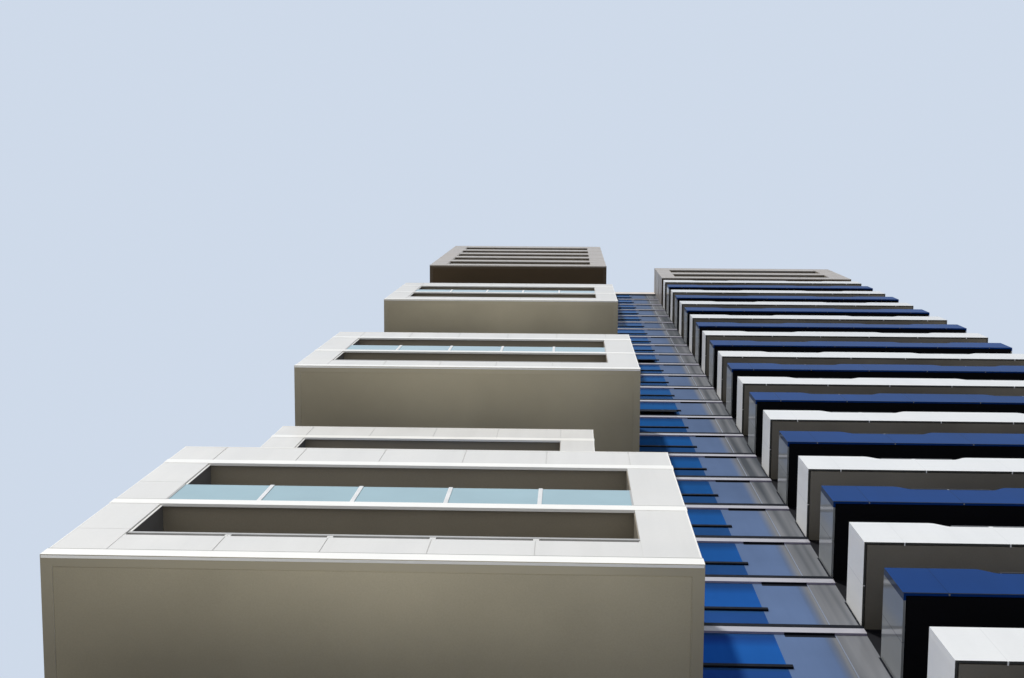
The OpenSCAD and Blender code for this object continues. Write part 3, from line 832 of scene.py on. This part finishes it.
def beads(mesh, box):
    """Grey sealant in the step over the beam and over the edge of each upper floor."""
    near, left, right = box.front + HAIR, box.left + HAIR, box.right - HAIR
    for k in range(box.storeys):
        low, high = box.floor(k), box.floor(k) + BEAD
        lengths = [(left, right)]
        if box.glazed(k):
            lengths = [(left, box.open_left), (box.open_right, right)]
        for start, end in lengths:
            block(mesh, (start, near, low), (end, box.face, high))
        at_both_ends(mesh, box, (HAIR, EDGE_OUT), (box.face, WALL), (low, high))


def joint_backs(mesh, box):
    """Grey tape in the open joints of the plates and of the spandrels."""
    near = box.face - TAPE_OUT
    foot, top = box.parapet()
    for cut in box.parapet_cuts():
        block(mesh, (cut - JOINT, near, foot), (cut + JOINT, box.face, top - CAP))
    for k in range(box.storeys):
        low, high = box.pier_cut(k) - JOINT, box.pier_cut(k) + JOINT
        block(mesh, (box.left + EDGE_OUT, near, low), (box.open_left, box.face, high))
        if box.glazed(k):
            continue
        top = deck(box.level + k) + SPANDREL_TOP
        starts = [cut - TAPE / 2 for cut in box.spandrel_cuts()]
        for start in starts + [box.open_left, box.open_right - TAPE]:
            block(mesh, (start, near, box.floor(k)), (start + TAPE, box.face + TAPE_IN, top))


def edge_wrap(mesh, box):
    """White trim folded a little way under the beam along the front."""
    top = deck(box.level)
    block(mesh, (box.left + WRAP_START, box.front + WRAP_START, top - WRAP_UNDER),
          (box.right - WRAP_START, box.front + WRAP_END, top))


def groove_fillers(mesh, box):
    """Recessed strips in the groove between the beam and the soffit panel."""
    low, high = (deck(box.level) + up for up in GROOVE_RISE)
    near, far = box.front + BEAM, box.front + BEAM + GROOVE
    block(mesh, (box.left + BEAM, near, low), (box.right - BEAM, far, high))
    at_both_ends(mesh, box, (BEAM, BEAM + GROOVE), (far, WALL), (low, high))


def rail_sleeves(mesh, box):
    """Grey sleeve round the rail over each row of spandrels, and the end channels of the panes."""
    near, far = (box.front + depth for depth in CHANNEL_DEPTH)
    for k in range(box.storeys):
        base = deck(box.level + k)
        if k < box.railed:
            block(mesh, (box.open_left, box.face - HAIR, base + RAIL_LOW - HAIR),
                  (box.open_right, box.face + RAIL + HAIR, base + RAIL_TOP + HAIR))
        elif box.glazed(k):
            for start in (box.open_left, box.open_right - CHANNEL):
                block(mesh, (start, near, box.floor(k)), (start + CHANNEL, far, base + PANE_TOP))


def post_covers(mesh, box):
    """White covers over the posts and the edges of the panes beside them."""
    near, far = (box.front + depth for depth in POST_COVER_DEPTH)
    for k in range(box.storeys):
        if not box.glazed(k):
            continue
        for middle in box.spandrel_cuts():
            block(mesh, (middle - POST_COVER / 2, near, box.floor(k)),
                  (middle + POST_COVER / 2, far, deck(box.level + k) + PANE_TOP))


def ceiling_shade_boards(mesh, box):
    """Dark taupe boards under the floors inside the loggias, painted shade over the white undersides of the
    floors.
    """
    for k in range(box.storeys):
        top = box.ceiling(k)
        block(mesh, (box.open_left, box.face + FASCIA_LIP, top - PLATE / 2), (box.open_right, WALL, top))


def linings(mesh, box, start):
    """Boards on the inner face of one pier, clear of the spandrels, the panes and the frame."""
    for k in range(box.storeys):
        low, middle, high = box.floor(k), box.over_guard(k), box.ceiling(k) - PLATE / 2
        block(mesh, (start, box.face + GUARD_DEPTH + EASE, low), (start + PLATE, WALL, middle))
        block(mesh, (start, box.face + FASCIA_LIP, middle), (start + PLATE, WALL, high))


def left_shade_linings(mesh, box):
    """Boards on the inner face of the left pier, whose dark grey is painted shade."""
    linings(mesh, box, box.open_left)


def right_linings(mesh, box):
    """Boards on the inner face of the right pier."""
    linings(mesh, box, box.open_right - PLATE)


EASED = ("plates", "caps_and_frames")


def dress_boxes(title, boxes, plate, trim, soffit):
    """All the fine pieces of one kind of box. Plate, trim and soffit are each a finish and its slot; the
    slot is not used.
    """
    pieces = (
        ("plates", (front_plates, end_plates), plate),
        ("caps_and_frames", (parapet_caps, opening_frame, corner_trims), trim),
        ("joints", (joint_backs,), (JOINT_GREY, "rail_grey")),
        ("beads", (beads,), (BEAD_GREY, "rail_grey")),
        ("edge_boards", (edge_wrap, fascias), trim),
        ("groove_fillers", (groove_fillers,), soffit),
        # The ceiling boards are painted shade
        ("ceiling_shade_boards", (ceiling_shade_boards,), (CEILING_SHADE, "soffit_taupe")),
        # The left linings are painted shade
        ("linings", (left_shade_linings,), (LINING_SHADE, "wall_grey")),
        ("reveals", (right_linings,), (REVEAL, "soffit_taupe")),
        ("rail_sleeves", (rail_sleeves,), (GUARD_GREY, "rail_grey")),
        ("post_covers", (post_covers,), (POST_WHITE, "post_white")),
    )
    for name, makers, (finish, slot) in pieces:
        mesh = bmesh.new()
        for box in boxes:
            for maker in makers:
                maker(mesh, box)
        if name in EASED:
            ease_edges(mesh)
        if mesh.verts:
            place(title + "_" + name, mesh, finish)


# Walls and windows

STREET_SIDE = ("x", WALL, -1)
LEFT_SIDE = ("y", BODY_LEFT, -1)
RIGHT_SIDE = ("y", BODY_RIGHT, 1)
BACK_SIDE = ("x", BACK, 1)
LOBBY_TOP = deck(1) - STRIP_UNDER


def on_side(mesh, side, along, out, up):
    """Block on one side of the tower. Along, out and up are its reach along the wall, out from
    the face of the wall and in height."""
    axis, face, way = side
    near, far = sorted((face + way * out[0], face + way * out[1]))
    if axis == "x":
        block(mesh, (along[0], near, up[0]), (along[1], far, up[1]))
    else:
        block(mesh, (near, along[0], up[0]), (far, along[1], up[1]))


def columns(start, length, count, width):
    """Ends of evenly spaced windows along a wall."""
    gap = (length - count * width) / (count + 1)
    lows = [start + gap + k * (width + gap) for k in range(count)]
    return [(low, low + width) for low in lows]


BAY_WINDOW = (BAY_LEFT + PIER, BAY_RIGHT - PIER)
WING_WIDTH = (BODY_RIGHT - WING_LEFT - (WING_COUNT + 1) * WING_PIER) / WING_COUNT
WING_WINDOWS = columns(WING_LEFT, BODY_RIGHT - WING_LEFT, WING_COUNT, WING_WIDTH)
INNER_FRONT = WALL + WALL_DEPTH
SIDE_COLUMNS = columns(INNER_FRONT, back_low.y - INNER_FRONT, SIDE_COUNT, SIDE_WIDTH)
BACK_COLUMNS = columns(BODY_LEFT, BODY_RIGHT - BODY_LEFT, BACK_COUNT, SIDE_WIDTH)

# The sides other than the street's, each with its reach along the wall, and their windows
PLAIN_SIDES = ((LEFT_SIDE, (WALL, BACK)), (RIGHT_SIDE, (WALL, BACK)), (BACK_SIDE, (BODY_LEFT, BODY_RIGHT)))
PLAIN_WINDOWS = (SIDE_COLUMNS, SIDE_COLUMNS, BACK_COLUMNS)


def window_bars(mesh, side, window, up, lights):
    """Frame round one window and the bars between its lights, in front of the glass."""
    start, end = window
    out = (-GLASS_IN, -GLASS_IN + BAR_DEPTH)
    low, high = up
    middles = shares(start, end, lights)
    for left in [start] + [m - BAR / 2 for m in middles] + [end - BAR]:
        on_side(mesh, side, (left, left + BAR), out, up)
    edges = [start + BAR] + [m + s * BAR / 2 for m in middles for s in (-1, 1)] + [end - BAR]
    for left, right in zip(edges[::2], edges[1::2]):
        on_side(mesh, side, (left, right), out, (low, low + BAR))
        on_side(mesh, side, (left, right), out, (high - BAR, high))


def all_windows():
    """Side, ends and number of lights of each window of one storey."""
    rows = [(STREET_SIDE, BAY_WINDOW, BAY_LIGHTS)]
    rows += [(STREET_SIDE, window, LIGHTS) for window in WING_WINDOWS]
    for side, windows in zip((LEFT_SIDE, RIGHT_SIDE, BACK_SIDE), PLAIN_WINDOWS):
        rows += [(side, window, LIGHTS) for window in windows]
    return rows


def glaze():
    """Bars of all windows, and the broad transoms that repeat those of the link. The windows behind
    boxes and trays have none."""
    bars, transoms = bmesh.new(), bmesh.new()
    out = (-GLASS_IN, TRANSOM_OUT)
    for side, window, lights in all_windows():
        for n in STOREYS:
            window_bars(bars, side, window, (deck(n) + SILL, deck(n) + SILL + WINDOW_HEIGHT), lights)
            if side is STREET_SIDE and (n >= SHALLOW_LEVELS[0] or window is not BAY_WINDOW):
                continue
            on_side(transoms, side, window, out, (deck(n) + TRANSOM_LOW, deck(n) + TRANSOM_HIGH))
        window_bars(bars, side, window, (LOBBY_SILL, LOBBY_SILL + LOBBY_HEIGHT), lights)
        on_side(transoms, side, window, out, (DOOR_TOP, DOOR_TOP + BAR * 2))
    place("window_bars", bars, BLACK)
    place("window_transoms", transoms, BLACK)


def wall_plates():
    """Glossy plates between the windows of the sides and the back, with open joints."""
    plates = bmesh.new()
    out = (0, PLATE)
    for (side, (start, end)), windows in zip(PLAIN_SIDES, PLAIN_WINDOWS):
        edges = [start] + [edge for window in windows for edge in window] + [end]
        for left, right in zip(edges[::2], edges[1::2]):
            for along in spans(left + JOINT, right - JOINT, [(left + right) / 2]):
                for n in STOREYS:
                    up = (deck(n) - STRIP_TOP + LINE, deck(n + 1) - STRIP_UNDER)
                    on_side(plates, side, along, out, up)
                on_side(plates, side, along, out, (LOBBY_SILL, LOBBY_TOP))
        for left, right in windows:
            for along in spans(left, right, shares(left, right, LOBBY_PLATES)):
                on_side(plates, side, along, out, (LOBBY_SILL + LOBBY_HEIGHT, LOBBY_TOP))
    ease_edges(plates)
    place("wall_plates", plates, CLADDING)


def lobby_trim():
    """Plinth round the foot, plates beside the lobby windows and the frame of the doorway."""
    stone, plates, bars = bmesh.new(), bmesh.new(), bmesh.new()
    door_left = (BAY_RIGHT + WING_LEFT - DOOR) / 2
    door_right = door_left + DOOR
    beside = (door_left - DOOR_EDGE, door_right + DOOR_EDGE)
    stones = ((STREET_SIDE, (BODY_LEFT, beside[0])), (STREET_SIDE, (beside[1], BODY_RIGHT)),
              (LEFT_SIDE, (WALL, BACK)), (RIGHT_SIDE, (WALL, BACK)),
              (BACK_SIDE, (BODY_LEFT - PLINTH, BODY_RIGHT + PLINTH)))
    for side, along in stones:
        on_side(stone, side, along, (0, PLINTH), (PLINTH_FOOT, LOBBY_SILL - JOINT))
    out = (0, PLATE)
    windows = (BAY_WINDOW, beside, *WING_WINDOWS)
    edges = [BODY_LEFT] + [edge for window in windows for edge in window] + [BODY_RIGHT]
    for left, right in zip(edges[::2], edges[1::2]):
        on_side(plates, STREET_SIDE, (left, right), out, (LOBBY_SILL, LOBBY_TOP))
    for left, right in (BAY_WINDOW, *WING_WINDOWS):
        for along in spans(left + JOINT, right - JOINT, shares(left, right, LOBBY_PLATES)):
            on_side(plates, STREET_SIDE, along, out, (LOBBY_SILL + LOBBY_HEIGHT, LOBBY_TOP))
    on_side(plates, STREET_SIDE, beside, out, (DOOR_TOP + DOOR_EDGE, LOBBY_TOP))
    for left in (door_left - DOOR_BAR, door_right):
        on_side(bars, STREET_SIDE, (left, left + DOOR_BAR), DOOR_BAR_DEPTH, (DOOR_FOOT, DOOR_TOP))
    on_side(bars, STREET_SIDE, (door_left - DOOR_BAR, door_right + DOOR_BAR), DOOR_BAR_DEPTH,
            (DOOR_TOP, DOOR_TOP + DOOR_BAR))
    for mesh in (stone, plates, bars):
        ease_edges(mesh)
    place("plinth", stone, CONCRETE)
    place("lobby_plates", plates, CLADDING)
    place("door_frame", bars, BLACK)


def shadow_lines():
    """Black line over each slab edge strip, on the link, the sides and the back."""
    lines = bmesh.new()
    near = FACE - STRIP_OUT - HAIR
    for n in STOREYS:
        low, high = HIGH_LINK_LINE if n >= HIGH_STRIPS else LINK_LINE
        block(lines, (BAY_RIGHT, near, deck(n) + low), (WING_LEFT, FACE, deck(n) + high))
        for side, along in PLAIN_SIDES:
            on_side(lines, side, along, (0, STRIP_OUT), (deck(n) - STRIP_TOP, deck(n) - STRIP_TOP + LINE))
    top = deck(DECKS)
    block(lines, (BAY_RIGHT, near, top - STRIP_UNDER), (WING_LEFT, FACE, top + BAND_FOOT))
    for side, along in PLAIN_SIDES:
        on_side(lines, side, along, (0, STRIP_OUT), (top - STRIP_TOP, top + BAND_FOOT))
    place("shadow_lines", lines, BLACK)


def drip_foot(n):
    """Foot of the drip of slab strip n. The higher slabs are a little thicker."""
    return deck(n) - STRIP_UNDER + DRIP - (HIGH_DRIP if n >= HIGH_STRIPS else DRIP)


def strip_drips():
    """Folded drip along the foot of each slab strip of the link."""
    drips = bmesh.new()
    for n in STOREYS:
        low, high = drip_foot(n), deck(n) - STRIP_UNDER + DRIP
        block(drips, (BAY_RIGHT, FACE - STRIP_OUT - HAIR, low), (WING_LEFT, FACE - STRIP_OUT, high))
        if low < high - DRIP:
            block(drips, (BAY_RIGHT, FACE - STRIP_OUT, low), (WING_LEFT, FACE, high - DRIP))
    place("strip_drips", drips, STRIP_AND_UNDER_SHADE)


def roof_band():
    """Beige band between the highest slab and the coping, on the link, the sides and the back."""
    band = bmesh.new()
    up = (deck(DECKS) + BAND_FOOT, WALL_TOP)
    block(band, (BAY_RIGHT, FACE - STRIP_OUT, up[0]), (WING_LEFT, FACE, up[1]))
    for side, along in PLAIN_SIDES:
        for length in spans(*along, shares(*along, BAND_PLATES)):
            on_side(band, side, length, (0, PLATE), up)
    place("roof_band", band, COPING)


def link_trim():
    """Slim lines of the link: the filler of its seam, the vents' hoods, and black strips beside the ends of
    the trays that are painted shade of the gap there.
    """
    dark, filler = bmesh.new(), bmesh.new()
    for n in STOREYS:
        low, top = deck(n) - STRIP_TOP + LINE, drip_foot(n + 1)
        block(dark, (VENT_LEFT, FACE - STRIP_OUT + SLIVER, top - HOOD), (SEAM, FACE, top))
        block(filler, (SEAM, FACE - SLIVER, low), (SEAM + SEAM_GAP, FACE + SEAM_DEPTH, top))
    # Painted shade of the gap beside each tray end
    for n in TRAYS:
        low = deck(n) + TRAY_LIFT
        block(dark, (WING_LEFT - TRAY_GAP_SHADE, FACE - TRAY_GAP_SHADE_OUT, low), (WING_LEFT, FACE, low + TRAY_HEIGHT))
    place("link_hoods_and_gap_shade", dark, BLACK)
    place("link_seam_filler", filler, SEAM_GREY)


def open_sashes():
    """The two low sashes of the link that stand open, hung from their transoms."""
    frames = bmesh.new()
    turn = Matrix.Rotation(math.radians(-SASH_TURN), 3, "X")
    for n in SASH_DECKS:
        hinge = Vector((0, FACE - SASH_OUT, deck(n) + TRANSOM_LOW))
        made = block(frames, (BAY_RIGHT + SASH_LEFT, hinge.y, deck(n) + SILL),
                     (PANEL_LEFT - SASH_RIGHT, hinge.y + SASH, hinge.z))
        bmesh.ops.rotate(frames, cent=hinge, matrix=turn, verts=made)
    ease_edges(frames)
    place("open_sashes", frames, BLACK)


def tray_clips():
    """Small clips that hold the lips of the trays at each seam, white on the pale trays."""
    for name, trays, depth, finish, slot in (
            ("pale_tray_clips", PALE_TRAYS, PALE_CLIP_DEPTH, POST_WHITE, "post_white"),
            ("dark_tray_clips", DARK_TRAYS, DARK_CLIP_DEPTH, CLIP_GREY, "rail_grey")):
        clips = bmesh.new()
        for n in trays:
            top = deck(n) + TRAY_LIFT
            for k in range(CLIPS):
                middle = WING_LEFT + CLIP_START + k * CLIP_STEP
                block(clips, (middle - CLIP / 2, TRAY_FRONT + SLIVER, top - CLIP_DROP),
                      (middle + CLIP / 2, TRAY_FRONT + depth, top))
        place(name, clips, finish)


def tray_rims():
    """Black rim along the foot of the dark trays."""
    rims = bmesh.new()
    for n in DARK_TRAYS:
        low = deck(n) + TRAY_LIFT
        block(rims, (WING_LEFT, TRAY_FRONT - SLIVER, low), (WING_RIGHT, TRAY_FRONT, low + RIM))
    place("tray_rims", rims, BLACK)


def rail_brackets():
    """Bracket at the middle of each dip, between the parapet and its handrail, white on the pale trays."""
    for name, trays, width, finish, slot in (
            ("pale_rail_brackets", PALE_TRAYS, PALE_BRACKET, POST_WHITE, "post_white"),
            ("dark_rail_brackets", DARK_TRAYS, DARK_BRACKET, CLIP_GREY, "rail_grey")):
        brackets = bmesh.new()
        for n in trays:
            foot = deck(n) + TRAY_LIFT + TRAY_HEIGHT - DIP
            for k in range(DIPS):
                middle = WING_LEFT + DIP_MIDDLE + k * DIP_STEP
                block(brackets, (middle - width / 2, TRAY_FRONT + SLIVER, foot),
                      (middle + width / 2, TRAY_FRONT + BRACKET_DEPTH, foot + RAIL_RISE))
        place(name, brackets, finish)


# Stage, lamps and camera

BACKDROP = (0.62, 0.70, 0.82)
SOFT_LIGHT = (0.95, 0.97, 1.0)
SOFT_STRENGTH = 0.24
FLOOR_COLOUR = (0.84, 0.84, 0.84)
FLOOR_REACH = 90.0
FLOOR_DROP = 0.002
LAMP_TOWARDS = (-0.286, -0.793, 0.54)
LAMP_STRENGTH = 3.0
LAMP_SOFTNESS = 3.0


def lay_floor():
    """A wide plain pale floor just under the ground slab."""
    mesh = bmesh.new()
    bmesh.ops.create_grid(mesh, x_segments=1, y_segments=1, size=FLOOR_REACH)
    bmesh.ops.translate(mesh, vec=(0, 0, -FLOOR_DROP), verts=mesh.verts[:])
    finish, _, shader, _ = new_finish("studio_floor", rough=0.9)
    shader.inputs["Base Color"].default_value = (*FLOOR_COLOUR, 1)
    floor = add_solid("studio_floor", mesh, finish)


def hang_backdrop():
    """A pale backdrop for the eye and for reflections, and a softer light for the surfaces."""
    world = bpy.data.worlds.new("studio")
    bpy.context.scene.world = world
    world.use_nodes = True
    tree = world.node_tree
    tree.nodes.clear()
    out = tree.nodes.new("ShaderNodeOutputWorld")
    mix = tree.nodes.new("ShaderNodeMixShader")
    for socket, colour, strength in ((1, SOFT_LIGHT, SOFT_STRENGTH), (2, BACKDROP, 1.0)):
        glow = tree.nodes.new("ShaderNodeBackground")
        glow.inputs["Color"].default_value = (*colour, 1)
        glow.inputs["Strength"].default_value = strength
        tree.links.new(glow.outputs["Background"], mix.inputs[socket])
    path = tree.nodes.new("ShaderNodeLightPath")
    rays = path.outputs["Is Camera Ray"]
    for kind in ("Is Glossy Ray", "Is Transmission Ray"):
        either = tree.nodes.new("ShaderNodeMath")
        either.operation = "MAXIMUM"
        tree.links.new(rays, either.inputs[0])
        tree.links.new(path.outputs[kind], either.inputs[1])
        rays = either.outputs["Value"]
    tree.links.new(rays, mix.inputs["Fac"])
    tree.links.new(mix.outputs["Shader"], out.inputs["Surface"])


def hang_lamp(name, towards, strength, softness):
    """A broad far lamp. Towards is the direction from the tower to the lamp."""
    data = bpy.data.lights.new(name, "SUN")
    data.energy = strength
    data.angle = math.radians(softness)
    lamp = add_object(name, data)
    lamp.rotation_mode = "QUATERNION"
    lamp.rotation_quaternion = Vector(towards).to_track_quat("Z", "Y")


CAMERA_PLACE = Vector((-0.4547, -1.6555, 0.1641))
CAMERA_TURN = Vector((0.1253, 0.0411, 0.0068))
PICTURE_WIDTH = 1024
FOCAL_PIXELS = 1422
SENSOR = 36.0
SIGHT = 200.0


def set_camera():
    """The photograph's own viewpoint: close to the foot of the tower, looking nearly straight up."""
    data = bpy.data.cameras.new("street_camera")
    data.sensor_width = SENSOR
    data.lens = FOCAL_PIXELS / PICTURE_WIDTH * SENSOR
    data.clip_end = SIGHT
    camera = add_object("street_camera", data)
    to_camera = Matrix.Rotation(CAMERA_TURN.length, 3, CAMERA_TURN.normalized())
    axes = to_camera.transposed() @ Matrix(((1, 0, 0), (0, -1, 0), (0, 0, -1)))
    camera.matrix_world = Matrix.Translation(CAMERA_PLACE) @ axes.to_4x4()
    bpy.context.scene.camera = camera


bpy.context.scene.view_settings.view_transform = "Standard"
dress_frame()
dress_boxes("white_box", DEEP + SHALLOW, (BOX_WHITE, "box_panel"), (TRIM_WHITE, "box_edge"),
            (SOFFIT, "soffit_taupe"))
dress_boxes("crown", [BAY_CROWN, WING_CROWN], (CROWN, "crown_beige"), (CROWN_TRIM, "crown_beige"),
            (CROWN_SOFFIT, "crown_soffit"))
glaze()
wall_plates()
lobby_trim()
shadow_lines()
strip_drips()
roof_band()
link_trim()
open_sashes()
tray_clips()
tray_rims()
rail_brackets()
lay_floor()
hang_backdrop()
hang_lamp("key_lamp", LAMP_TOWARDS, LAMP_STRENGTH, LAMP_SOFTNESS)
set_camera()
